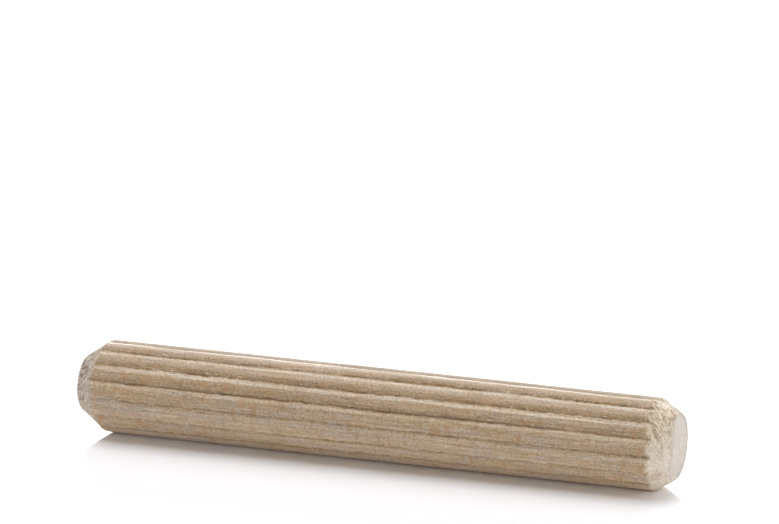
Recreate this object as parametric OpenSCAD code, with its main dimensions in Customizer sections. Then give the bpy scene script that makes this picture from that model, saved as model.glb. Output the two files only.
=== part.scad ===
// Fluted wooden dowel pin, chamfered at both ends and lying on its side.
//
// The pin lies along X on two of its ribs. The origin is at the middle of its length,
// on the surface it lies on. The front is -Y, and the left and right ends are -X and +X.
//
// The pin starts as a round bar with sharp grooves pressed along it. Between two grooves the
// wood bulges into a rounded rib, and a narrow land along each crest is what is left of the
// round bar. Each end is cut back to a cone, so every groove runs out through the chamfer
// and stops where the cone has come down to the groove's own depth.

/* [Pin] */
// Length over the two end faces
pin_length = 40; // [20:1:80]
// Diameter over the crests of the ribs
pin_diameter = 6; // [5:0.5:12]

/* [Ribs] */
// Number of ribs around the pin
rib_count = 16; // [12:1:20]
// Depth of the grooves below the crests
groove_depth = 0.2; // [0.1:0.02:0.3]
// Width of the round land along the crest of each rib
crest_land = 0.36; // [0.1:0.02:0.5]

/* [Left end] */
// Length of the left chamfer along the pin
left_chamfer_length = 1.8; // [0.6:0.1:3]
// Diameter of the flat face that the left chamfer leaves
left_face_diameter = 3.5; // [2:0.1:4]
// How far the left chamfer was turned off centre, towards the front
left_offset_front = 0.35; // [0:0.05:0.4]
// How far the left chamfer was turned off centre, upwards
left_offset_up = 0.15; // [0:0.05:0.3]

/* [Right end] */
// Length of the right chamfer along the pin
right_chamfer_length = 1.3; // [0.6:0.1:3]
// Diameter of the flat face that the right chamfer leaves
right_face_diameter = 4.4; // [2:0.1:4.6]
// How far the right chamfer was turned off centre, towards the front
right_offset_front = 0; // [0:0.05:0.2]
// How far the right chamfer was turned off centre, upwards
right_offset_up = 0; // [0:0.05:0.2]

/* [Hidden] */

WOOD = [0.76, 0.65, 0.52];
// Facets on a full turn, for drawing only
PIN_FACETS = 96;
RIB_FACETS = 48;
// How far a cutting shape passes the surface that it cuts
PASS = 1;

crest_radius = pin_diameter / 2;
groove_radius = crest_radius - groove_depth;
rib_pitch = 360 / rib_count;

// Where a groove's bottom and a land's edge lie, out along their rib and to its side
groove_out = groove_radius * cos(rib_pitch / 2);
groove_side = groove_radius * sin(rib_pitch / 2);
land_half_angle = crest_land / pin_diameter * 180 / PI;
land_out = crest_radius * cos(land_half_angle);
land_side = crest_radius * sin(land_half_angle);

// A rib is one arc about a centre on its own line from the pin's axis. The arc passes through
// the bottoms of the two grooves and both edges of the land, which trims its crest.
rib_centre_radius = (pow(crest_radius, 2) - pow(groove_radius, 2)) / (2 * (land_out - groove_out));
rib_radius = norm([groove_out - rib_centre_radius, groove_side]);

// A groove points straight down, so the pin rests on the two ribs beside it: on the near edge
// of each land, or where the land is very narrow on the arc beside it.
rests_on_lands = asin(land_side / rib_radius) > rib_pitch / 2;
axis_height = rests_on_lands
    ? crest_radius * cos(rib_pitch / 2 - land_half_angle)
    : rib_centre_radius * cos(rib_pitch / 2) + rib_radius;

// The ring of full round ribs, filled in to its middle, with a groove pointing along -Y
module rib_ring() {
    circle(r = rib_centre_radius, $fn = PIN_FACETS);
    for (i = [0 : rib_count - 1]) {
        rotate((i + 0.5) * rib_pitch - 90)
            translate([rib_centre_radius, 0])
                circle(r = rib_radius, $fn = RIB_FACETS);
    }
}

// Ribbed bar of the pin's length, centred on the X axis
module ribbed_bar() {
    rotate([90, 0, 90])
        linear_extrude(height = pin_length, center = true)
            intersection() {
                rib_ring();
                circle(r = crest_radius, $fn = PIN_FACETS);
            }
}

// What an end is cut back to: a cone that widens from the end face at z = 0 and reaches the
// crest circle at the chamfer's length, then a plain round bar that clears the ribs
module chamfered_envelope(face_diameter, chamfer_length, offset) {
    face_radius = face_diameter / 2;
    clear_radius = crest_radius + offset + PASS;
    slope = chamfer_length / (crest_radius - face_radius);
    rotate_extrude($fn = PIN_FACETS)
        polygon([
            [0, 0],
            [face_radius, 0],
            [clear_radius, (clear_radius - face_radius) * slope],
            [clear_radius, pin_length + PASS],
            [0, pin_length + PASS]
        ]);
}

module left_envelope() {
    offset = norm([left_offset_front, left_offset_up]);
    translate([-pin_length / 2, -left_offset_front, left_offset_up])
        rotate([0, 90, 0])
            chamfered_envelope(left_face_diameter, left_chamfer_length, offset);
}

module right_envelope() {
    offset = norm([right_offset_front, right_offset_up]);
    translate([pin_length / 2, -right_offset_front, right_offset_up])
        rotate([0, -90, 0])
            chamfered_envelope(right_face_diameter, right_chamfer_length, offset);
}

module dowel_pin() {
    color(WOOD)
        translate([0, 0, axis_height])
            intersection() {
                ribbed_bar();
                left_envelope();
                right_envelope();
            }
}

dowel_pin();
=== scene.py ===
# %% [markdown]
# # A fluted dowel pin
#
# A dowel pin joins two boards. It is a short length of round hardwood. Its side is pressed into straight
# ribs, so that glue and air can escape from the hole, and its ends are coned, so that it starts easily.
#
# This lesson lays one pin on a pale table under soft studio light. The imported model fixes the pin's size
# and place, and nothing here moves it. The first step loads that model and reads its box.

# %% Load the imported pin
import math

import bpy
import numpy as np
from mathutils import Matrix, Vector


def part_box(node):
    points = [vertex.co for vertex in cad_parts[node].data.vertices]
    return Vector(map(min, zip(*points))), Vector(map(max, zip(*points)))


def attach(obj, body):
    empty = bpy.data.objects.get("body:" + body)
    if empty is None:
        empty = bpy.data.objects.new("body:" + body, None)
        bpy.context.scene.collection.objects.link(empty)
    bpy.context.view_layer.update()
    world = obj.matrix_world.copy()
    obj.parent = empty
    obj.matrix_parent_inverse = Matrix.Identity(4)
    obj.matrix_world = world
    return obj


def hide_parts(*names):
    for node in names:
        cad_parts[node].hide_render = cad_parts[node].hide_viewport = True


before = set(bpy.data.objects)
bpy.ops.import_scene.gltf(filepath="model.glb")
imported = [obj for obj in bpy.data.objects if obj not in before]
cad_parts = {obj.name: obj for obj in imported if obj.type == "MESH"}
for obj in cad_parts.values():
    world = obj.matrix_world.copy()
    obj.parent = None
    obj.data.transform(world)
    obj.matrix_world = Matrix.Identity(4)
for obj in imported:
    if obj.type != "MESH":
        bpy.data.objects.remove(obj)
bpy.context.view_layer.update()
mm = 0.001

# %% [markdown]
# ## The camera
#
# A small thing looks best from some way off through a long lens, which keeps its two ends nearly the same
# size. A long lens has a narrow view, so it takes little movement to lose the pin. The camera could be
# dragged into place by hand, but here it is placed from its aim, a point above the pin, and from a turn,
# a rise and a distance, which can each be changed without losing the others.

# %% Place the camera
pin_low, pin_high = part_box("dowel_pin")
pin_centre = (Vector(pin_low) + Vector(pin_high)) / 2

camera_turn, camera_rise = math.radians(18.5), math.radians(17.9)
camera_distance = 745.5 * mm
aim_right, aim_up = 0.578 * mm, 9.78 * mm
sensor_width, focal_length = 36, 536.6
nearest_seen, farthest_seen = 0.05, 50


def way_to(turned, risen):
    """The direction from the pin to a thing that is turned this far from the front and risen this far."""
    return Vector((
        math.sin(turned) * math.cos(risen), -math.cos(turned) * math.cos(risen), math.sin(risen)
    ))


towards_camera = way_to(camera_turn, camera_rise)
camera_right = Vector((math.cos(camera_turn), math.sin(camera_turn), 0))
camera_up = towards_camera.cross(camera_right)
aim = pin_centre + camera_right * aim_right + camera_up * aim_up

lens = bpy.data.cameras.new("long_lens")
lens.sensor_width, lens.lens = sensor_width, focal_length
lens.clip_start, lens.clip_end = nearest_seen, farthest_seen
camera = bpy.data.objects.new("camera", lens)
camera_axes = Matrix((camera_right, camera_up, towards_camera)).transposed().to_4x4()
camera.matrix_world = Matrix.Translation(aim + towards_camera * camera_distance) @ camera_axes
bpy.context.collection.objects.link(camera)
bpy.context.scene.camera = camera
print("camera at", [round(v, 4) for v in camera.matrix_world.translation])

# %% [markdown]
# ## The bar's section
#
# The bar starts round. A toothed die presses sharp grooves into it, and the wood between them stands
# proud as ribs. Each rib is an arc with a narrow strip of the round bar left on its crest. Blender could
# bend a cylinder into this with modifiers, but a formula for the radius at each angle keeps the grooves
# sharp and lets the chamfers and the torn fibres use the same numbers.

# %% Rib profile
pin_length = pin_high[0] - pin_low[0]
half_length = pin_length / 2
axis_height = (pin_low[2] + pin_high[2]) / 2
bar_radius, groove_radius = 3.0 * mm, 2.8 * mm
crest_land = 0.36 * mm
rib_count = 16
rib_angle = 2 * math.pi / rib_count
pressed_flat, flat_power = 0.15, 4

land_out = math.sqrt(bar_radius**2 - (crest_land / 2) ** 2)
groove_out = groove_radius * math.cos(rib_angle / 2)
groove_side = groove_radius * math.sin(rib_angle / 2)
arc_centre = (bar_radius**2 - groove_radius**2) / (2 * (land_out - groove_out))
arc_radius = math.hypot(groove_out - arc_centre, groove_side)


def rib_dip(beside_crest):
    """How far a rib falls below the round bar beside its crest. Pressing flattens the arc a little."""
    side = arc_centre * np.sin(beside_crest)
    arc = arc_centre * np.cos(beside_crest) + np.sqrt(np.maximum(arc_radius**2 - side**2, 0))
    round_dip = bar_radius - np.minimum(arc, bar_radius)
    flat_dip = (bar_radius - groove_radius) * (beside_crest / (rib_angle / 2)) ** flat_power
    return round_dip * (1 - pressed_flat) + flat_dip * pressed_flat


print("rib arc of", round(arc_radius / mm, 3), "mm, groove", round(rib_dip(rib_angle / 2) / mm, 3), "mm deep")

# %% [markdown]
# ## Seeded roughness
#
# Wood is never regular. Every wobble here comes from the same source: a grid of random values, drawn from
# a fixed seed, with smooth curves between them. One side of the grid runs along the grain and the other
# goes round the bar and joins up with itself. Long narrow cells give fibres, and a slant gives the marks
# that a turning cutter leaves. A displacement texture would do much the same, but its values couldn't be
# used again for the colours.

# %% Smooth random field
overhang = 0.6 * pin_length  # how far the grid reaches each way from its middle
spare_rows = 4


def roughness(seed, along, turn, cell_along, cells_round, slant=0.0):
    """Smooth random values from -1 to 1. turn is 0 to 1 round the bar, slant is turns per metre."""
    rows = int(2 * overhang / cell_along) + spare_rows
    grid = np.random.default_rng(seed).uniform(-1, 1, (rows, cells_round))
    u = (along + overhang) / cell_along
    v = (turn + slant * along) * cells_round
    i, j = np.floor(u).astype(int), np.floor(v).astype(int)
    fu, fv = u - i, v - j
    fu, fv = fu * fu * (3 - 2 * fu), fv * fv * (3 - 2 * fv)
    i, j = np.clip(i, 0, rows - 2), j % cells_round
    k = (j + 1) % cells_round
    near = grid[i, j] * (1 - fv) + grid[i, k] * fv
    far = grid[i + 1, j] * (1 - fv) + grid[i + 1, k] * fv
    return near * (1 - fu) + far * fu


def step_up(value, low, high):
    """0 below low, 1 above high, and a smooth climb between."""
    t = np.clip((value - low) / (high - low), 0, 1)
    return t * t * (3 - 2 * t)


def facing_up(at_angle, low, high):
    """0 where the side faces lower than low and 1 where it faces higher than high. Down is -1, up is 1."""
    return step_up(np.sin(at_angle), low, high)


print("a few rough values:", roughness(1, np.zeros(3), np.arange(3) / 3, 2 * mm, rib_count).round(2))

# %% [markdown]
# ## Rows and columns
#
# The side of the pin is a net. Its columns run along the grain, closer together beside each groove, so
# that a column always lies in the bottom of one. Its rows go round the bar. They are even along the
# ribs and closer on the two chamfers, and the row between a chamfer and the ribs follows that edge.

# %% Columns round the bar
columns_per_rib = 19
column_count = rib_count * columns_per_rib
crowding = 0.68
spread = np.linspace(-1, 1, columns_per_rib + 1)[:-1] * crowding * math.pi / 2
within_rib = np.sin(spread) / math.sin(crowding * math.pi / 2) * rib_angle / 2

straight_down = -math.pi / 2
rib_number = np.repeat(np.arange(rib_count), columns_per_rib)
beside_crest = np.tile(within_rib, rib_count)
crest_at = (rib_number + 0.5) * rib_angle + straight_down
angle = crest_at + beside_crest
turn = angle / (2 * math.pi)
print(column_count, "columns; the angle starts at the front and grows upwards")

# %% [markdown]
# ## Grooves that aren't alike
#
# The die's teeth are worn and the bar turns a little under them, so real grooves lean away from an even
# spacing, and some are deep and torn while others are hardly there. A table of three numbers for each
# groove says this more plainly than a random wobble would. It starts with the groove that faces straight
# down, and goes up the front, over the top and down the back.

# %% Each groove's own lean, depth and darkness
groove_table = np.array([  # lean in degrees, depth and darkness, where 1 is a full one
    (0.0, 1.00, 0.50), (0.0, 0.30, 0.20), (3.0, 0.40, 0.15), (0.0, 0.36, 0.06),
    (0.6, 0.80, 0.70), (1.6, 1.15, 0.85), (0.4, 0.68, 0.10), (1.4, 0.75, 0.05),
    (4.0, 1.00, 0.10), (3.4, 0.50, 0.30), (0.7, 1.00, 0.50), (0.4, 1.20, 0.70),
    (0.9, 1.10, 0.40), (-1.1, 1.20, 0.80), (0.3, 1.25, 0.50), (-0.6, 1.00, 0.60),
])
lean_degrees, groove_press, groove_darkness = groove_table.T
groove_lean = np.radians(lean_degrees)
groove_place = np.arange(rib_count + 1) * rib_angle + straight_down


def per_groove(values, at_angle):
    """A value for each groove, carried smoothly over the ribs between."""
    return np.interp(at_angle, groove_place, np.append(values, values[0]))


print("grooves lean by up to", round(math.degrees(np.abs(groove_lean).max()), 1), "degrees")

# %% [markdown]
# ## The chamfers
#
# A cutter points both ends. On this pin the right cone is true to the bar and only a little longer over
# the top, and the left one was cut to one side, so it is longer at the back than at the front. Each cone
# is given by its distance from the bar's axis, at each place along it. A boolean cut would leave long
# thin faces where a cone meets the ribs, and the distances let the rows follow that edge instead.

# %% Cones at the two ends
longest_at = math.radians(92)
chamfers = {  # -1 is the left end and 1 the right
    -1: {"length": 1.8 * mm, "face": 1.75 * mm, "off": (-0.35 * mm, 0.15 * mm), "longer_by": 0.0},
    1: {"length": 1.3 * mm, "face": 2.2 * mm, "off": (0.0, 0.0), "longer_by": 0.22},
}
blunting, blunt_from = 0.05 * mm, 2.62 * mm
rim_rounding, rounding_width = 0.07 * mm, 0.2 * mm
longest_chamfer, edge_tries = 3.4 * mm, 680


def cone_slope(side, at_angle):
    """How much a chamfer widens for each metre inwards."""
    cone = chamfers[side]
    longer = cone["longer_by"] * np.maximum(np.cos(at_angle - longest_at), 0) ** 2
    return (bar_radius - cone["face"]) / (cone["length"] * (1 + longer))


def cone_reach(side, inwards, at_angle):
    """Distance from the bar's axis to a chamfer, some way in from its end face."""
    cone = chamfers[side]
    radius = cone["face"] + inwards * cone_slope(side, at_angle)
    along_off = -np.cos(at_angle) * cone["off"][0] + np.sin(at_angle) * cone["off"][1]
    across_off = cone["off"][0] ** 2 + cone["off"][1] ** 2 - along_off**2
    cut = along_off + np.sqrt(np.maximum(radius**2 - across_off, 0))
    blunt = blunting * step_up(cut, blunt_from, bar_radius) * facing_up(at_angle, -0.9, -0.4)
    return cut + blunt - rim_rounding * (1 - step_up(inwards, 0, rounding_width))


def edge_inwards(side, reach, at_angle):
    """How far in from the end face the chamfer meets a bar of this reach, found by trying small steps."""
    steps = np.linspace(0, longest_chamfer, edge_tries)[:, None]
    met = cone_reach(side, steps, at_angle[None]) >= reach
    return steps[np.argmax(met, axis=0), 0]


for side in chamfers:
    edge = edge_inwards(side, bar_radius, angle)
    print("chamfer", side, "is", (edge.min() / mm).round(2), "to", (edge.max() / mm).round(2), "mm long")

# %% [markdown]
# ## The pressed side
#
# Close up, the ribs are not smooth. The bar waves a little along its length, its fibres stand out as
# fine ridges, and the wood at the bottom of each groove is torn and pitted. These are real heights in
# the mesh, so that they catch the light from any side. Only what is finer than the net is left to bump.

# %% Wobbles of the bar
bar_wobbles = {  # seed, height in mm, a cell's length in mm, cells round the bar
    "wave": (12, 0.012, 9, 8),
    "fibre": (13, 0.006, 2.4, 150),
    "fine": (14, 0.004, 0.7, 230),
    "torn": (15, 0.04, 0.3, 200),
}
press_change, shallowest_at_left = 0.4, 0.65
torn_from = 0.70  # share of the way from a crest to its groove where the torn strip starts
pit_depth, proudest = 0.04 * mm, 0.01 * mm


def wobble(name, along, turns):
    """One of the bar's wobbles, as a height."""
    seed, height, cell, cells_round = bar_wobbles[name]
    return height * mm * roughness(seed, along, turns, cell * mm, cells_round)


def past_left_end(along):
    """0 at the left end, where the die pressed less, and 1 from a few millimetres on."""
    return step_up(along + half_length, 1.5 * mm, 5 * mm)


print("bar wobbles:", list(bar_wobbles))

# %% Bar radius


def bar_surface(along, at_angle, beside):
    """The pressed bar's radius, and how near each point is to a groove's bottom and to a pit (0 to 1)."""
    turns = at_angle / (2 * math.pi)
    press = per_groove(groove_press, at_angle)
    press = press * (1 + press_change * roughness(11, along, turns, 2.5 * mm, rib_count))
    press = press * (shallowest_at_left + (1 - shallowest_at_left) * past_left_end(along))
    near_groove = step_up(np.abs(beside) / (rib_angle / 2), torn_from, 1.0)
    wave = wobble("wave", along, turns)
    pits = near_groove * step_up(roughness(16, along, turns, 0.33 * mm, 190), 0.3, 0.8)
    radius = bar_radius - rib_dip(np.abs(beside)) * press + wave - abs(0.5 * wave)
    radius = radius + wobble("fibre", along, turns) + wobble("fine", along, turns)
    radius = radius + near_groove * wobble("torn", along, turns) - pit_depth * pits
    return np.minimum(radius, bar_radius + proudest), near_groove, pits


middle_radius, _, _ = bar_surface(np.zeros(column_count), angle, beside_crest)
print("middle radius", (middle_radius.min() / mm).round(3), "to", (middle_radius.max() / mm).round(3), "mm")

# %% [markdown]
# ## The cut chamfers
#
# The cutter turns as it points the end, so its marks run round the cone at a slant: short raised strips
# with fine torn lines between, and small chips. They are deepest on the upper half, where the light
# shows them. The same values are kept for the colour, so a deep line is also coloured dark.

# %% Marks of the cutter
stroke_slant = -65.0  # turns per metre
stroke_sizes = {-1: (0.35 * mm, 100), 1: (0.4 * mm, 80)}  # a stroke's length, and strokes round
cutter_marks = {  # seed, a cell's length in mm, cells round, share of the slant
    "gaps": (39, 0.3, 40, 0.3),
    "small": (42, 0.11, 150, 1.0),
    "chips": (27, 0.15, 110, 0.5),
    "broad": (30, 0.9, 18, 0.0),
    "ragged": (33, 0.5, 190, 0.0),
    "lumps": (36, 0.3, 60, 0.0),
}
cut_heights = {  # in mm
    "marks": 0.030, "small": 0.008, "chips": -0.035, "broad": 0.02, "ragged": 0.014, "lumps": 0.016,
}
cut_depth = 0.01  # in mm, how far the whole chamfer is cut below its cone
line_depth, weakest_mark = 1.1, 0.45


def cone_surface(side, inwards, at_angle):
    """A chamfer's distance from the axis with the cutter's marks, and its marks and chips alone."""
    turns = at_angle / (2 * math.pi)
    found = {
        name: roughness(seed + side, inwards, turns, cell * mm, cells_round, share * stroke_slant)
        for name, (seed, cell, cells_round, share) in cutter_marks.items()
    }
    strips = roughness(21 + side, inwards, turns, *stroke_sizes[side], stroke_slant)
    between_strips = roughness(24 + side, inwards, turns, *stroke_sizes[side], stroke_slant)
    lines = (1 - step_up(np.abs(between_strips), 0.02, 0.2)) * step_up(found["gaps"], -0.3, 0.3)
    strength = weakest_mark + (1 - weakest_mark) * facing_up(at_angle, -0.1, 0.7)
    found["marks"] = (0.5 * strips - line_depth * lines) * strength
    found["chips"] = step_up(found["chips"], 0.58, 0.85) * strength
    found["small"], found["broad"] = found["small"] * strength, found["broad"] * strength
    relief = sum(height * found[name] for name, height in cut_heights.items()) - cut_depth
    return cone_reach(side, inwards, at_angle) + relief * mm, found["marks"], found["chips"]


print("cutter's marks:", list(cutter_marks))

# %% [markdown]
# ## The crushed right face
#
# The right end face is flat at the back only. Its front was crushed or cut askew, and falls away to the
# rim. Rather than cut the mesh with a tilted plane, one formula says how far any point of the face has
# fallen. The rim, the rings inside it and the colour all ask the same formula, so they stay together.

# %% Where the right face slopes away
slope_from, slope_lean, slope_fall = -1.15 * mm, 0.33, 0.24
slope_blend = 0.5 * mm
barely_fallen, clearly_fallen = 0.005 * mm, 0.06 * mm


def face_fall(side, y, z):
    """How far a point on an end face lies below the flat part."""
    if side < 0:
        return 0 * y
    beyond = (slope_from + slope_lean * z - y) / math.hypot(1, slope_lean)
    return slope_fall * np.maximum(beyond, 0) * step_up(beyond, 0, slope_blend)


def on_slope(y, z):
    """1 where the right face has been crushed into a slope, 0 where it is flat."""
    return step_up(face_fall(1, y, z), barely_fallen, clearly_fallen)


rim_drop = {  # how far the rim has fallen, at every column
    side: face_fall(
        side, -cone["face"] * np.cos(angle) + cone["off"][0], cone["face"] * np.sin(angle) + cone["off"][1]
    )
    for side, cone in chamfers.items()
}
print("the rim falls by up to", (rim_drop[1].max() / mm).round(2), "mm")

# %% Rows along the bar
chamfer_rows = {-1: 26, 1: 22}
body_rows = 246
edge_place = 1.4 * mm  # about where the chamfers end

edges = {}
for side in chamfers:
    near_edge = np.full(column_count, side * (half_length - edge_place))
    bar_there, _, _ = bar_surface(near_edge, angle, beside_crest)
    edges[side] = edge_inwards(side, bar_there, angle)

left_steps = np.linspace(0, 1, chamfer_rows[-1], endpoint=False)[:, None]
right_steps = np.linspace(1, 0, chamfer_rows[1] + 1)[1:, None]
body_steps = np.linspace(0, 1, body_rows)[:, None]
left_rows = rim_drop[-1] + left_steps * (edges[-1] - rim_drop[-1])
right_rows = rim_drop[1] + right_steps * (edges[1] - rim_drop[1])
left_edge, right_edge = -half_length + edges[-1], half_length - edges[1]
along = np.concatenate([
    -half_length + left_rows,
    left_edge + body_steps * (right_edge - left_edge),
    half_length - right_rows,
])
print(len(along), "rows make", 2 * len(along) * column_count, "triangles on the side")

# %% [markdown]
# ## The shape of the side
#
# Where the bar and a cone meet, the lower of the two is the surface. Real wood has no knife edge there:
# it is blunt, more so low down where it was handled, and ragged where fibres tore. The two shapes are
# therefore blended over a few hundredths of a millimetre, and the same comparison says which points
# belong to a cut.

# %% Bar and cones together
turns = np.broadcast_to(turn, along.shape)
angles = np.broadcast_to(angle, along.shape)
besides = np.broadcast_to(beside_crest, along.shape)
bar, near_groove, pits = bar_surface(along, angles, besides)
left_cone, left_marks, left_chips = cone_surface(-1, along + half_length, angles)
right_cone, right_marks, right_chips = cone_surface(1, half_length - along, angles)

sharp_blend, extra_blend_below = 0.03 * mm, 0.07 * mm
handled = (1 - facing_up(angles, -0.2, 0.6)) * facing_up(angles, -0.95, -0.6)
softness = sharp_blend + extra_blend_below * handled


def soft_lower(first, second):
    """The lower of two radii, with the edge between them rounded."""
    share = np.clip(0.5 + 0.5 * (second - first) / softness, 0, 1)
    return second * (1 - share) + first * share - softness * share * (1 - share)


radius = soft_lower(bar, soft_lower(left_cone, right_cone))
print("radius from", (radius.min() / mm).round(3), "to", (radius.max() / mm).round(3), "mm")

# %% Which points are cut
fray = 0.04 * mm * roughness(18, along, turns, 0.3 * mm, 150)
cut_edge = (0.03 + 0.09 * (1 - facing_up(angles, -0.2, 0.5))) * mm


def cut_by(cone):
    """1 where this cone has cut the bar away, 0 where the bar is left, with a frayed edge between."""
    return 1 - step_up(cone - bar + fray, -0.5 * cut_edge, cut_edge)


on_left, on_right = cut_by(left_cone), cut_by(right_cone)
on_chamfer = np.maximum(on_left, on_right)
print("share of the side that is cut:", round(float(on_chamfer.mean()), 3))

# %% Lean the grooves and place the points
slow_wander, fine_wander = math.radians(0.4), math.radians(1.0)
lean = per_groove(groove_lean, angles) + slow_wander * roughness(17, along, turns, 5 * mm, rib_count)
lean = lean + fine_wander * near_groove * roughness(19, along, turns, 0.22 * mm, 2 * rib_count)
side_points = np.stack([
    along,
    -radius * np.cos(angles + lean),
    np.maximum(axis_height + radius * np.sin(angles + lean), 0),
], axis=-1)
print("side points:", side_points.shape[:2])

# %% [markdown]
# ## The end faces
#
# A saw parts the pins, so the end faces are flat with open grain. Each face here is a set of shrinking
# rings inside the chamfer's last row, closed by one point in the middle. A single flat face would be
# simpler, but it could hold neither the small dents nor the slope.

# %% Rings on the end faces
ring_sizes = (0.975, 0.93, 0.84, 0.7, 0.54, 0.38, 0.22, 0.1)
face_inset, dent_depth, dent_length = 0.008 * mm, 0.008 * mm, 1 * mm
rounded_from, rounded_depth = 0.7, 0.06 * mm
first_dent_seed, dents_round, fewest_dents, smallest_dented = 40, 60, 8, 0.2


def end_rings(side):
    """The rings of one end face, from its rim inwards, and its middle point."""
    rim = side_points[0 if side < 0 else -1]
    off_y, off_z = chamfers[side]["off"]
    middle = np.array([side * half_length, off_y, axis_height + off_z])
    rings = []
    for n, size in enumerate(ring_sizes):
        ring = middle + (rim - middle) * size
        cells = max(fewest_dents, int(dents_round * size))
        dent = dent_depth * roughness(first_dent_seed + n, 0 * turn, turn, dent_length, cells)
        fall = face_fall(side, ring[:, 1], ring[:, 2] - axis_height)
        rounded = rounded_depth * max(0, (size - rounded_from) / (1 - rounded_from)) ** 2
        outwards = half_length - face_inset - fall - rounded + dent * (size > smallest_dented)
        ring[:, 0] = side * outwards
        rings.append(ring)
    middle[0] = side * (half_length - face_inset)
    return np.array(rings), middle


left_rings, left_middle = end_rings(-1)
right_rings, right_middle = end_rings(1)
print(2 * len(ring_sizes), "rings on two faces")

# %% Join it all into one closed mesh
net = np.concatenate([left_rings[::-1], side_points, right_rings])
points = np.concatenate([net.reshape(-1, 3), [left_middle, right_middle]])
left_point, right_point = len(points) - 2, len(points) - 1

around = np.arange(column_count)
beyond = (around + 1) % column_count
row_starts = np.arange(len(net) - 1)[:, None] * column_count
here, beside = (row_starts + around).ravel(), (row_starts + beyond).ravel()
quads = np.stack([here, here + column_count, beside + column_count, beside], axis=1)
last_row = (len(net) - 1) * column_count
left_fan = np.stack([around, beyond, np.full(column_count, left_point)], axis=1)
right_fan = np.stack([last_row + beyond, last_row + around, np.full(column_count, right_point)], axis=1)

pin_mesh = bpy.data.meshes.new("fluted_pin")
pin_mesh.from_pydata(points.tolist(), [], quads.tolist() + left_fan.tolist() + right_fan.tolist())
pin_mesh.validate()
pin_mesh.polygons.foreach_set("use_smooth", np.ones(len(pin_mesh.polygons), dtype=bool))
pin = bpy.data.objects.new("fluted_pin", pin_mesh)
bpy.context.collection.objects.link(pin)
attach(pin, "root")
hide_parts("dowel_pin")
print("pin mesh:", len(points), "points,", sum(len(p.vertices) - 2 for p in pin_mesh.polygons), "triangles")

# %% [markdown]
# ## Masks for the colours
#
# The wood's material has to know where the cuts, grooves and end faces are. Vertex paint could say it by
# hand. Here each mask is a number stored on every point, worked out from the same values as the shape, so
# the dark lines lie in the real grooves and the marks are dark where they are deep.

# %% Store a mask


def paint(name, values, left_face=0.0, right_face=0.0):
    """Stores one number for each point: the side's, and the faces' from one number or one for each point."""
    rings = (len(ring_sizes), column_count)
    left, right = (np.broadcast_to(np.asarray(face, float), rings) for face in (left_face, right_face))
    every = np.concatenate([left[::-1], values, right]).ravel()
    data = pin_mesh.attributes.new(name, "FLOAT", "POINT").data
    data.foreach_set("value", np.append(every, [left[-1, 0], right[-1, 0]]).astype(np.float32))


print("masks are numbers on", len(pin_mesh.vertices), "points")

# %% Masks of the grooves and the cuts
shadowed_left_end = 0.4 + 0.6 * past_left_end(along)
paint("groove", near_groove**2 * (1 - on_chamfer) * shadowed_left_end * per_groove(groove_darkness, angles))
paint("pit", pits * (1 - on_chamfer))

face_slope = on_slope(right_rings[:, :, 1], right_rings[:, :, 2] - axis_height)
face_rows = np.broadcast_to(np.array(ring_sizes)[:, None], face_slope.shape)
face_marks = 0.7 * roughness(50, face_rows * mm, np.broadcast_to(turn, face_slope.shape), 0.12 * mm, 60)
left_fade = 0.3 + 0.7 * facing_up(angles, -0.45, 0.05)
uncut_patches = step_up(roughness(54, along, turns, 0.9 * mm, 44), 0.15, 0.6)
right_fade = 1 - 0.6 * uncut_patches * (1 - facing_up(angles, -0.45, 0.1))
paint("chamfer", on_left * left_fade + on_right * right_fade, 0.0, face_slope)
paint("marks", left_marks * on_left + right_marks * on_right, 0.0, face_marks)
paint("chips", left_chips * on_left + right_chips * on_right)
print("the slope takes up", round(float((face_slope > 0.5).mean()), 2), "of the right face")

# %% Masks of the end grain and of the softer cuts below
grain_by_left_rim, grain_by_right_rim = 0.7, 0.8
grain_on_face, grain_lost_on_slope = 0.85, 0.65
blur = 0.09 * mm * roughness(53, along, turns, 0.25 * mm, 60)
right_face_radius = chamfers[1]["face"]
flat_rim = 1 - on_slope(-right_face_radius * np.cos(angle), right_face_radius * np.sin(angle))
near_left = 1 - step_up(along + half_length - rim_drop[-1], 0, 0.14 * mm)
near_right = flat_rim * (1 - step_up(half_length - along - rim_drop[1] + blur, -0.05 * mm, 0.17 * mm))
grain_by_rims = np.maximum(grain_by_left_rim * near_left, grain_by_right_rim * near_right)
paint("end_grain", grain_by_rims, 1.0, grain_on_face - grain_lost_on_slope * face_slope)
paint("weathered", on_left)
cut_below = 1 - facing_up(angle, -0.2, 0.65)
paint("soft_cut", on_right * cut_below, 0.0, face_slope * cut_below)
print("masks so far:", [a.name for a in pin_mesh.attributes if a.data_type == "FLOAT"])
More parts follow.
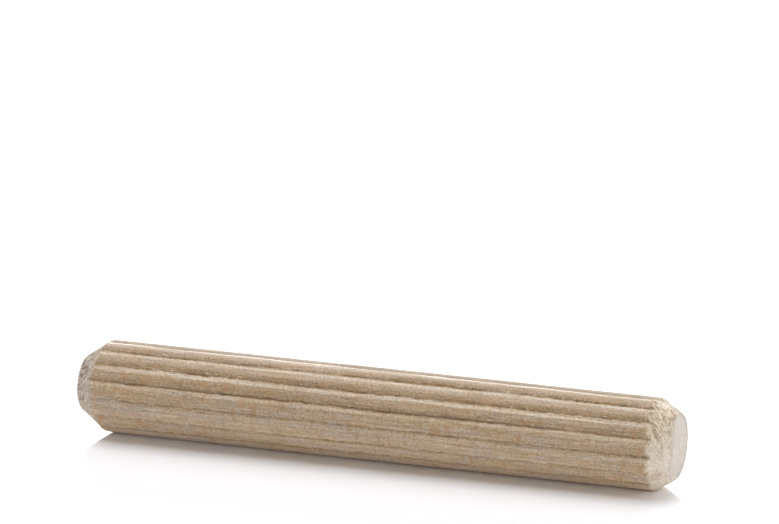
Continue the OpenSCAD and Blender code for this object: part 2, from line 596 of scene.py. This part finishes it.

# %% [markdown]
# ## Ribs that aren't alike
#
# Each rib has its own tone, and the ribs carry painted light and shade. A pale painted highlight lies along
# each rib's upper shoulder and a brown painted shade along its lower side, strongest on the upper ribs.
# The tone below and above each crest is partly the wood's own and partly painted light and shade, and
# the two lowest ribs are painted much lighter, so that their edge doesn't sink into the table's shade.
# Along the top the ribs are greyed: partly dust, partly painted shade where the lamps behind light them
# strongly. A second table gives these for each rib, counted as the grooves are. A tone of 0 leaves the
# wood as it is.

# %% Masks of the ribs
rib_table = np.array([  # tone and painted light below and above the crest, and strength of painted highlight and shade
    (-0.50, 1.34, 0.30), (1.12, -0.38, 0.30), (0.26, -0.14, 0.20), (0.21, -0.05, 0.30),
    (0.03, -0.10, 0.12), (-0.05, -0.20, 0.65), (-0.25, -0.20, 1.20), (-0.48, 0.15, 1.20),
    (-0.06, -0.07, 0.60), (0.00, 0.00, 0.60), (0.00, 0.00, 0.80), (0.05, 0.05, 0.80),
    (0.00, 0.00, 0.80), (-0.04, -0.04, 0.80), (0.00, 0.00, 0.60), (0.00, -0.40, 0.40),
])
tone_and_light_below, tone_and_light_above, highlight_and_shade_strength = rib_table[rib_number].T
# The top ribs are greyed, partly dust and partly painted shade where the lamps behind light them strongly;
# the top of the chamfers gets painted shade alone.
rib_dust_and_shade = np.zeros(rib_count)
rib_dust_and_shade[8:10] = (1.0, 0.35)
painted_shade_on_cut = step_up(angle, math.radians(84), math.radians(102))
painted_shade_on_cut = painted_shade_on_cut * (1 - step_up(angle, math.radians(110), math.radians(130)))

flank = besides / (rib_angle / 2)  # -1 in the groove below a rib, 0 on its crest, 1 in the groove above
# Painted highlight along each rib's upper shoulder, strongest on the upper ribs.
painted_highlight = step_up(flank, 0.18, 0.42) * (1 - step_up(flank, 0.58, 0.8))
# Painted shade along each rib's lower side.
painted_shade = step_up(-flank, -0.35, 0.15)
# Tone below and above the crest: partly the wood's own, partly painted light and shade, much lighter on the
# two lowest ribs.
tone_and_painted_light = tone_and_light_below * (1 - flank) / 2 + tone_and_light_above * (1 + flank) / 2
paint("painted_highlight", painted_highlight * highlight_and_shade_strength * (1 - on_chamfer))
paint("painted_shade", painted_shade * highlight_and_shade_strength * (1 - on_chamfer))
paint("tone_and_painted_light", tone_and_painted_light * (1 - on_chamfer))
paint("dust_and_shade", rib_dust_and_shade[rib_number] * (1 - on_chamfer) + painted_shade_on_cut * on_chamfer)
print("rib tones from", tone_and_painted_light.min().round(2), "to", tone_and_painted_light.max().round(2))

# %% Places for the strokes
# The fine strokes on a cut follow the cutter's slant, so each point is turned back by it.
twist = 2 * math.pi * stroke_slant * np.where(along < 0, along + half_length, half_length - along)
side_y, side_z = side_points[:, :, 1], side_points[:, :, 2] - axis_height
untwisted_y = side_y * np.cos(twist) + side_z * np.sin(twist)
untwisted_z = side_z * np.cos(twist) - side_y * np.sin(twist)
paint("stroke_y", untwisted_y / mm, left_rings[:, :, 1] / mm, right_rings[:, :, 1] / mm)
left_z, right_z = left_rings[:, :, 2] - axis_height, right_rings[:, :, 2] - axis_height
paint("stroke_z", untwisted_z / mm, left_z / mm, right_z / mm)
print("masks:", [a.name for a in pin_mesh.attributes if a.data_type == "FLOAT"])

# %% [markdown]
# ## Torn fibres
#
# Pressing and cutting leave loose fibres: fine ones along the grooves, and short thick burrs where a rib
# meets a chamfer. Each is a thin closed sliver, wide at its root and thin at its tip, that follows the
# surface and lifts a little off it. Its root is inside the pin. Hair particles would do this too, but
# real meshes keep their shape when they are exported.

# %% The surface as one formula


def surface_at(along, at_angle):
    """The pin's radius at any place, without the cutter's marks."""
    beside = np.mod(at_angle - straight_down, rib_angle) - rib_angle / 2
    bar_here, _, _ = bar_surface(along, at_angle, beside)
    left_here = cone_reach(-1, along + half_length, at_angle)
    right_here = cone_reach(1, half_length - along, at_angle)
    return np.minimum(bar_here, np.minimum(left_here, right_here))


print("radius on a crest:", (surface_at(np.zeros(1), np.array([rib_angle / 2])) / mm).round(3), "mm")

# %% Fibres along the grooves
# Each row: place along, angle, heading, length, width, lift. A heading of 0 runs to the right, 90 degrees up.
chance = np.random.default_rng(77)
groove_fibre = ((0.08, 0.34), (0.035, 0.08), (0.0, 0.035))  # length, width and lift, from and to, in mm
edge_burr = ((0.12, 0.34), (0.05, 0.11), (0.0, 0.03))
fewest_fibres, more_where_darker = 50, 40
fibre_span, lip_span = (-17.6, 18.0), (1.2, 3.4)  # along the pin in mm, and beside a groove in degrees
groove_stray = 0.12
fibre_rows = []


def drawn_size(kind):
    """A length, a width and a lift by chance, in that order."""
    return [chance.uniform(low, high) * mm for low, high in kind]


for groove in range(rib_count):
    for _ in range(int(fewest_fibres + more_where_darker * groove_darkness[groove])):
        lip = math.radians(chance.choice([-1, 1]) * chance.uniform(*lip_span))
        heading = chance.choice([0, math.pi]) + chance.normal(0, groove_stray)
        place_along = chance.uniform(*fibre_span) * mm
        fibre_rows.append((place_along, groove_place[groove] + lip, heading, *drawn_size(groove_fibre)))
print(len(fibre_rows), "fibres along the grooves")

# %% Burrs where the ribs meet the chamfers
burrs_per_edge, edge_radius = 6, 2.94 * mm
beside_middle, set_in, edge_stray = (-0.45, 0.45), (0.0, 0.15), 0.5  # in ribs, in mm and in radians
for rib in range(rib_count):
    middle_angle = (rib + 0.5) * rib_angle + straight_down
    for side in chamfers:
        for _ in range(burrs_per_edge):
            at = middle_angle + chance.uniform(*beside_middle) * rib_angle
            edge = edge_inwards(side, edge_radius, np.array([at]))[0] + chance.uniform(*set_in) * mm
            heading = (0 if side > 0 else math.pi) + chance.normal(0, edge_stray)
            fibre_rows.append((side * (half_length - edge), at, heading, *drawn_size(edge_burr)))
print(len(fibre_rows), "small fibres in all")

# %% The burrs that stand out
# Angles here are in degrees, lengths in millimetres, and the order is the same.
burrs = (
    (17.95, 84, 2, 0.70, 0.10, 0.07), (18.00, 87, 6, 0.45, 0.07, 0.04),
    (18.32, 61, -80, 0.85, 0.10, 0.03), (18.55, 54, -62, 0.62, 0.14, 0.04),
    (18.45, 58, -70, 0.60, 0.08, 0.05), (18.52, 31, -45, 0.50, 0.09, 0.03),
    (18.70, 31, -50, 0.45, 0.08, 0.02), (18.75, 3, -55, 0.35, 0.07, 0.02),
    (18.35, 70, -30, 0.50, 0.10, 0.03), (18.60, 76, -25, 0.55, 0.09, 0.03),
    (18.70, 66, -40, 0.50, 0.08, 0.02),
)
for place_along, at, heading, *size in burrs:
    size = [value * mm for value in size]
    fibre_rows.append((place_along * mm, math.radians(at), math.radians(heading), *size))
print(len(burrs), "larger burrs")

# %% Shape the fibres
start, at, heading, length, width, lift = (column[:, None] for column in np.array(fibre_rows).T)
way = np.array([0.0, 0.15, 0.4, 0.65, 0.85, 1.0])[None]  # from root to tip
thickness = np.array([0.7, 1.0, 0.95, 0.75, 0.45, 0.12])[None]
root_depth, highest_burr = 0.03 * mm, 0.12 * mm

fibre_along = start + length * way * np.cos(heading)
fibre_angle = at + length * way * np.sin(heading) / bar_radius
fibre_radius = surface_at(fibre_along, fibre_angle) + lift * way**1.5 - root_depth * (1 - way) ** 3

corner_turn = np.arange(4) * math.pi / 2
across = np.cos(corner_turn) * (width * thickness)[..., None] / 2
outward = np.sin(corner_turn) * (width * thickness)[..., None] / 4
corner_along = fibre_along[..., None] - across * np.sin(heading)[..., None]
corner_angle = fibre_angle[..., None] + across * np.cos(heading)[..., None] / bar_radius
corner_angle = corner_angle + per_groove(groove_lean, corner_angle)
corner_radius = np.minimum(fibre_radius[..., None] + outward, bar_radius + highest_burr)
fibre_points = np.stack([
    corner_along,
    -corner_radius * np.cos(corner_angle),
    np.maximum(axis_height + corner_radius * np.sin(corner_angle), 0),
], axis=-1).reshape(-1, 3)
corners = corner_turn.size
points_each = way.size * corners
print("a fibre has", points_each, "points")

# %% Join the fibres into one mesh
one_fibre = [
    (first + c, first + (c + 1) % corners, first + corners + (c + 1) % corners, first + corners + c)
    for first in range(0, points_each - corners, corners) for c in range(corners)
]
one_fibre += [tuple(reversed(range(corners))), tuple(range(points_each - corners, points_each))]
fibre_faces = [
    tuple(n * points_each + corner for corner in face)
    for n in range(len(fibre_rows)) for face in one_fibre
]
fibre_mesh = bpy.data.meshes.new("torn_fibres")
fibre_mesh.from_pydata(fibre_points.tolist(), [], fibre_faces)
fibre_mesh.validate()
fibres = bpy.data.objects.new("torn_fibres", fibre_mesh)
bpy.context.collection.objects.link(fibres)
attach(fibres, "root")
print("fibres:", len(fibre_mesh.polygons), "faces")

# %% Masks of the fibres
# A fibre is fresh wood, so it takes the colour of a cut. Each has its own shade, and the burrs are pale.
fibre_shades = {"chamfer": (0.4, 0.9, 0.5), "marks": (-0.4, 0.9, 0.5), "soft_cut": (0.0, 1.0, 0.0)}
for name, (low, high, burr_shade) in fibre_shades.items():
    shades = chance.uniform(low, high, len(fibre_rows))
    shades[-len(burrs):] = burr_shade
    shades = np.repeat(shades, points_each).astype(np.float32)
    fibre_mesh.attributes.new(name, "FLOAT", "POINT").data.foreach_set("value", shades)
print("fibre masks:", list(fibre_shades))

# %% [markdown]
# ## The wood
#
# The pin looks like beech: pale, with fine straight fibres, short darker pore lines, and small tan flecks
# where the rays are cut. A solid texture is used, not a wrapped one, so that the grain runs through the
# pin and shows as lines on the side and as dots on the ends. It is measured in millimetres. The nodes are
# added by a few small helpers, which keep each layer of the wood to a line or two.

# %% Helpers that add nodes
wood = bpy.data.materials.new("beech")
wood.use_nodes = True
tree = wood.node_tree
tree.nodes.clear()


def fill(made, slot, value):
    """Sets an input to a value, or joins another node's output to it. A colour gets its fourth number."""
    if isinstance(value, bpy.types.NodeSocket):
        tree.links.new(value, made.inputs[slot])
    elif made.inputs[slot].type == "RGBA" and len(value) == 3:
        made.inputs[slot].default_value = (*value, 1)
    else:
        made.inputs[slot].default_value = value


def add(kind, label, inputs=None, **settings):
    """Adds a node, sets its options and fills its inputs."""
    made = tree.nodes.new(kind)
    made.label = label
    for key, value in settings.items():
        setattr(made, key, value)
    for slot, value in (inputs or {}).items():
        fill(made, slot, value)
    return made


def maths(label, operation, *values):
    """One sum on numbers or sockets."""
    return add("ShaderNodeMath", label, dict(enumerate(values)), operation=operation).outputs[0]


def between(label, value, low, high, to_low=0.0, to_high=1.0):
    """Spreads a value between two limits over another range, with soft ends."""
    return add("ShaderNodeMapRange", label, {
        "Value": value, "From Min": low, "From Max": high, "To Min": to_low, "To Max": to_high,
    }, interpolation_type="SMOOTHSTEP").outputs[0]


def mixed(label, share, first, second):
    """Mixes some of the second colour into the first."""
    inputs = {0: share, 6: first, 7: second}
    return add("ShaderNodeMix", label, inputs, data_type="RGBA").outputs[2]


def shaded(label, colour, shade):
    """Makes a colour lighter or darker by one number."""
    return add("ShaderNodeVectorMath", label, {0: colour, "Scale": shade}, operation="SCALE").outputs[0]


print("node helpers ready")

# %% Helpers for grain and masks
place = add("ShaderNodeTexCoord", "place on the pin").outputs["Object"]
shift_ways = (1, 0.7, 1.3)


def grain(label, size, detail=2.0, rough=0.5, shift=0.0):
    """Solid noise. size is its cells' length along the grain, sideways and upright, in millimetres."""
    stretch, moved = [1 / (part * mm) for part in size], [shift * part for part in shift_ways]
    cells = add("ShaderNodeMapping", label + " size", {"Vector": place, "Scale": stretch, "Location": moved})
    return add("ShaderNodeTexNoise", label, {
        "Vector": cells.outputs[0], "Scale": 1.0, "Detail": detail, "Roughness": rough,
    }).outputs["Fac"]


def mask(name, strength=None):
    """Reads one of the masks stored on the mesh, or some of it."""
    stored = add("ShaderNodeAttribute", name, attribute_name=name).outputs["Fac"]
    return stored if strength is None else maths(name + " share", "MULTIPLY", stored, strength)


print("grain is measured in steps of", mm, "m")

# %% Colour of the long grain
pale_wood, tan_wood = (0.61, 0.468, 0.315), (0.475, 0.345, 0.200)
cool_wood, warm_wood = (0.50, 0.405, 0.355), (0.54, 0.335, 0.185)
growth = (  # name, cell size, detail, roughness, shift, where it starts and is full, its most, its colour
    ("tan growth", (40.0, 2.2, 0.6), 2.0, 0.55, 4.0, 0.45, 0.68, 0.4, tan_wood),
    ("cool growth", (2.6, 0.8, 0.7), 2.0, 0.55, 17.0, 0.44, 0.62, 0.5, cool_wood),
    ("warm growth", (1.0, 0.25, 0.3), 2.0, 0.6, 31.0, 0.48, 0.66, 0.5, warm_wood),
)
streaks = grain("fibre streaks", (7.0, 0.20, 0.20), 3.0, 0.6)
colour = mixed("pale and tan fibres", between("streak share", streaks, 0.34, 0.66), pale_wood, tan_wood)
for name, size, detail, rough, shift, from_value, full_value, most, tint in growth:
    patches = grain(name + " patches", size, detail, rough, shift)
    colour = mixed(name, between(name + " share", patches, from_value, full_value, 0.0, most), colour, tint)
print("growth coloured")

# %% [markdown]
# ## Light and dark fibres
#
# On top of its tints, wood has lighter and darker fibres, long lines, a mottle and fine specks. They are
# added up into one shade, with each rib's tone and painted light and shade, and the colour is multiplied
# by it. Darker wood is also browner, so red follows the shade less than green does, and blue follows it more.

# %% One shade from four textures
# Colours of the painted highlight and the painted shade on the ribs.
highlight_colour, painted_shade_brown = (0.825, 0.74, 0.635), (0.385, 0.262, 0.145)
red_follows, blue_follows = 0.83, 1.35
shading = (  # name, cell size, detail, roughness, shift, strength
    ("short fibres", (2.2, 0.09, 0.09), 2.0, 0.5, 6.0, 0.75),
    ("long lines", (9.0, 0.07, 0.07), 1.0, 0.5, 27.0, 0.4),
    ("mottle", (0.32, 0.13, 0.13), 2.0, 0.6, 8.0, 0.3),
    ("specks", (0.14, 0.085, 0.085), 1.0, 0.5, 21.0, 1.3),
)
# Each rib's tone and painted light and shade start the shade.
shade = maths("tone of the rib", "ADD", 1.0, mask("tone_and_painted_light"))
textures = {}
for name, size, detail, rough, shift, strength in shading:
    textures[name] = grain(name, size, detail, rough, shift)
    lighter_or_darker = maths(name + " share", "MULTIPLY_ADD", textures[name], strength, -0.5 * strength)
    shade = maths("and " + name, "ADD", shade, lighter_or_darker)

# Painted highlight on each rib's upper shoulder.
colour = mixed("paler where rubbed", mask("painted_highlight", 0.52), colour, highlight_colour)
# Painted shade on each rib's lower side.
colour = mixed("browner where sunk", mask("painted_shade", 0.42), colour, painted_shade_brown)
three_shades = add("ShaderNodeCombineXYZ", "three shades", {
    "X": maths("red changes less", "MULTIPLY_ADD", shade, red_follows, 1 - red_follows),
    "Y": shade,
    "Z": maths("blue changes more", "MULTIPLY_ADD", shade, blue_follows, 1 - blue_follows),
}).outputs[0]
colour = add("ShaderNodeVectorMath", "shaded", {0: colour, 1: three_shades}, operation="MULTIPLY").outputs[0]
print("shaded by", list(textures))

# %% Flecks, pores and dust
fleck_tan, pore_brown, pale_dust_and_shade = (0.47, 0.285, 0.15), (0.33, 0.215, 0.12), (0.52, 0.49, 0.465)
rays = between("fleck", grain("ray flecks", (0.36, 0.5, 0.95), 0.0, 0.5, 9.0), 0.54, 0.80)
fleck_zone = grain("where flecks crowd", (5.0, 1.2, 1.2), 1.0, 0.5, 2.0)
fleck_share = maths("flecks in zones", "MULTIPLY", rays, between("zone", fleck_zone, 0.42, 0.6, 0.15, 0.85))
colour = mixed("tan ray flecks", fleck_share, colour, fleck_tan)

pore_share = between("pore", grain("pore lines", (1.3, 0.07, 0.07), 1.0, 0.5, 5.0), 0.57, 0.72, 0.0, 0.55)
colour = mixed("dark pore lines", pore_share, colour, pore_brown)
# Greyed top ribs: partly dust, partly painted shade.
colour = mixed("dust_and_shade", mask("dust_and_shade", 0.36), colour, pale_dust_and_shade)
print("long grain coloured")

# %% [markdown]
# ## Dark lines in the grooves
#
# Most grooves get a thin dark line along their bottom. A plain dark line would look
# drawn. Two textures break it: a fine one into crumbs, and a slow one that lets it fade and return.

# %% Colour of the grooves
groove_brown, pit_brown = (0.29, 0.185, 0.10), (0.2, 0.125, 0.07)
crumbs = between("crumbs", grain("broken groove line", (0.5, 0.14, 0.14), 4.0, 0.8, 12.0), 0.42, 0.56)
fades = between("fades", grain("fading groove", (2.2, 0.8, 0.8), 1.0, 0.5, 14.0), 0.38, 0.62)
groove_dark = maths("crumbs in the groove", "MULTIPLY", mask("groove"), crumbs)
groove_dark = maths("fading crumbs", "MULTIPLY", groove_dark, fades)
colour = mixed("dark in the groove", groove_dark, colour, groove_brown)
colour = mixed("dark in the pits", mask("pit", 0.35), colour, pit_brown)
print("grooves coloured")

# %% [markdown]
# ## The cut wood
#
# A chamfer is cut across the grain at a slant. Its colour is a mix of dark and pale strokes that follow
# the cutter's marks, and low on the right it is softer and paler. The left chamfer is older and greyer.
# The strokes are made with noise too, but at the turned back places, or they would run along the grain.

# %% Strokes on the chamfers
stroke_along, stroke_across = 0.5 * mm, 0.085  # the masks are in millimetres already
stroke_dark, stroke_pale = (0.37, 0.27, 0.155), (0.80, 0.685, 0.535)
grey_stroke_dark, grey_stroke_pale = (0.24, 0.18, 0.14), (0.74, 0.62, 0.53)
soft_pale = (0.885, 0.80, 0.705)

along_the_pin = add("ShaderNodeSeparateXYZ", "x", {0: place}).outputs[0]
stroke_place = add("ShaderNodeCombineXYZ", "place along a stroke", {
    "X": maths("part of x", "MULTIPLY", along_the_pin, 1 / stroke_along),
    "Y": mask("stroke_y", 1 / stroke_across),
    "Z": mask("stroke_z", 1 / stroke_across),
}).outputs[0]
fine_strokes = add("ShaderNodeTexNoise", "fine strokes", {
    "Vector": stroke_place, "Scale": 1.0, "Detail": 1.0, "Roughness": 0.5,
}).outputs["Fac"]
broad_stroke = between("broad stroke", mask("marks"), -0.7, 0.1)
stroke = maths("stroke", "MULTIPLY", between("fine stroke", fine_strokes, 0.34, 0.52), broad_stroke)
cut_colour = mixed("strokes", stroke, stroke_dark, stroke_pale)
cut_colour = mixed("softer below", mask("soft_cut", 0.65), cut_colour, soft_pale)
grey_cut = mixed("grey strokes", stroke, grey_stroke_dark, grey_stroke_pale)
cut_colour = mixed("grey where weathered", mask("weathered", 0.85), cut_colour, grey_cut)
print("strokes coloured")

# %% Painted shade, pits and chips of the chamfers
grey_painted_shade, cut_pit, chip_brown = (0.40, 0.36, 0.32), (0.36, 0.28, 0.21), (0.36, 0.26, 0.16)
shade_on_cut = 0.12
cut_shade = maths("softer shade", "MULTIPLY_ADD", shade, shade_on_cut, 1 - shade_on_cut)
cut_colour = shaded("shaded cut", cut_colour, cut_shade)
# Painted shade on the top of the chamfers, where the lamps behind light them strongly.
cut_colour = mixed("dust on the cut", mask("dust_and_shade", 0.62), cut_colour, grey_painted_shade)
cut_pits = grain("pits in the cut", (0.15, 0.14, 0.14), 1.0, 0.5, 23.0)
cut_colour = mixed("pits", between("pit in the cut", cut_pits, 0.64, 0.71, 0.0, 0.8), cut_colour, cut_pit)
cut_colour = mixed("chips", mask("chips", 0.6), cut_colour, chip_brown)
colour = mixed("chamfer", mask("chamfer"), colour, cut_colour)
print("chamfers coloured")

# %% End grain
end_pale, end_dark = (0.648, 0.58, 0.523), (0.49, 0.405, 0.333)
end_level, end_contrast = 0.93, 0.8
end_pores = between("end pore", grain("end pores", (3.0, 0.06, 0.06), 1.0, 0.5, 7.0), 0.52, 0.7, 0.0, 0.6)
end_mottle = grain("end mottle", (3.0, 0.22, 0.22), 2.0, 0.6, 19.0)
end_shade = maths("end shade", "MULTIPLY_ADD", end_mottle, end_contrast, end_level - 0.5 * end_contrast)
end_colour = shaded("shaded end", mixed("end grain", end_pores, end_pale, end_dark), end_shade)
colour = mixed("end face", mask("end_grain"), colour, end_colour)
print("ends coloured")

# %% [markdown]
# ## Gloss and bump
#
# Dry bare beech has a soft sheen, duller where the dust and painted shade lie. The fibres finer than the
# net become bump: it bends the light without moving the surface, which is enough at a few hundredths of a
# millimetre. On the chamfers the strokes take the fibres' place.

# %% Finish the wood
bump_strength, bump_height = 0.6, 0.028 * mm
wood_ior, wood_specular = 1.5, 0.5
smoothest, roughest, rougher_in_dust = 0.34, 0.46, 0.3
fine_fibres = grain("fine fibres", (1.2, 0.05, 0.05), 2.0, 0.6, 3.0)
ridges = maths("fibres and specks", "ADD", fine_fibres, textures["specks"])
ridges = maths("with sunk pores", "ADD", ridges, maths("pore depth", "MULTIPLY", pore_share, -0.8))
uncut_ridges = maths("uncut ridges", "MULTIPLY", maths("uncut", "SUBTRACT", 1.0, mask("chamfer")), ridges)
heights = maths("and strokes", "MULTIPLY_ADD", mask("chamfer"), stroke, uncut_ridges)
bump = add("ShaderNodeBump", "bump", {"Height": heights, "Strength": bump_strength, "Distance": bump_height})

gloss = between("gloss of fibres", streaks, 0.3, 0.7, smoothest, roughest)
gloss = maths("gloss", "ADD", gloss, mask("dust_and_shade", rougher_in_dust))
surface = add("ShaderNodeBsdfPrincipled", "wood surface", {
    "Base Color": colour, "Roughness": gloss, "Normal": bump.outputs[0],
    "IOR": wood_ior, "Specular IOR Level": wood_specular,
})
add("ShaderNodeOutputMaterial", "out", {"Surface": surface.outputs[0]})
pin_mesh.materials.append(wood)
fibre_mesh.materials.append(wood)
print("wood has", len(tree.nodes), "nodes")

# %% [markdown]
# ## The table
#
# The table is plain, pale and polished, so the pin has a soft shadow and a faint reflection. One large
# square is enough, as nothing of it is seen but its colour. It looks whiter to the camera than it is to
# the light, so that it fades into the white room without throwing more light on the pin.

# %% Table
table_reach = 3.0
table_gloss, table_ior = 0.06, 1.75
lit_table, seen_table = (0.98, 0.975, 0.97), (1.18, 1.20, 1.25)
corners_of_table = [(x * table_reach, y * table_reach, 0) for x, y in ((-1, -1), (1, -1), (1, 1), (-1, 1))]
table_mesh = bpy.data.meshes.new("table")
table_mesh.from_pydata(corners_of_table, [], [(0, 1, 2, 3)])
table = bpy.data.objects.new("table", table_mesh)
bpy.context.collection.objects.link(table)

white_table = bpy.data.materials.new("white_table")
white_table.use_nodes = True
tree = white_table.node_tree
tree.nodes.clear()
ray = add("ShaderNodeLightPath", "kind of ray")
table_surface = add("ShaderNodeBsdfPrincipled", "table surface", {
    "Base Color": mixed("whiter for the camera", ray.outputs["Is Camera Ray"], lit_table, seen_table),
    "Roughness": table_gloss, "IOR": table_ior,
})
add("ShaderNodeOutputMaterial", "out", {"Surface": table_surface.outputs[0]})
table_mesh.materials.append(white_table)
print("table", 2 * table_reach, "m wide")

# %% [markdown]
# ## The room and the lamps
#
# A white room gives an even fill, weaker than it looks. The lamps are large and soft. One is low behind
# the pin and one overhead: together they catch the upper shoulder of each rib and leave its lower one
# dark, which is what makes the ribs read. A wide one on the right lights the cut end, a small one high
# behind sharpens the highlights, and a weak low one in front keeps the lower ribs from going black.

# %% Room
room_fill = 0.2
room = bpy.data.worlds.new("white_room")
bpy.context.scene.world = room
room.use_nodes = True
tree = room.node_tree
tree.nodes.clear()
ray = add("ShaderNodeLightPath", "kind of ray")
in_gloss = maths("seen in gloss", "MAXIMUM", ray.outputs["Is Glossy Ray"], ray.outputs["Is Transmission Ray"])
seen = maths("seen", "MAXIMUM", ray.outputs["Is Camera Ray"], in_gloss)
strength = maths("strength", "ADD", room_fill, maths("extra when seen", "MULTIPLY", seen, 1 - room_fill))
light = add("ShaderNodeBackground", "white", {"Color": (1, 1, 1, 1), "Strength": strength})
add("ShaderNodeOutputWorld", "out", {"Surface": light.outputs[0]})
print("room fills with", room_fill)

# %% Lamps
lamp_distance = 0.6
lamps = {  # turn and rise in degrees, width and height in metres, and the light at the pin, where 1 is plain
    "high_behind": (205, 60, 0.35, 0.35, 0.22),
    "overhead": (270, 76, 0.4, 0.4, 0.59),
    "low_behind": (180, 12, 0.6, 0.35, 0.68),
    "low_front": (10, 8, 0.4, 0.25, 0.07),
    "side_right": (90, 17, 0.9, 0.5, 0.58),
}
for name, (turned, risen, wide, high, level) in lamps.items():
    toward = way_to(math.radians(turned), math.radians(risen))
    lamp = bpy.data.lights.new(name, "AREA")
    lamp.shape = "RECTANGLE"
    lamp.size, lamp.size_y = wide, high
    lamp.energy = level * math.pi**2 * lamp_distance**2
    made = bpy.data.objects.new(name, lamp)
    made.location = pin_centre + toward * lamp_distance
    made.rotation_mode = "QUATERNION"
    made.rotation_quaternion = toward.to_track_quat("Z", "Y")
    made.visible_camera = False
    bpy.context.collection.objects.link(made)

# %% [markdown]
# ## Plain colours
#
# The render's colours are shown in Blender's plain Standard view.

# %% Plain colours
bpy.context.scene.view_settings.view_transform = "Standard"
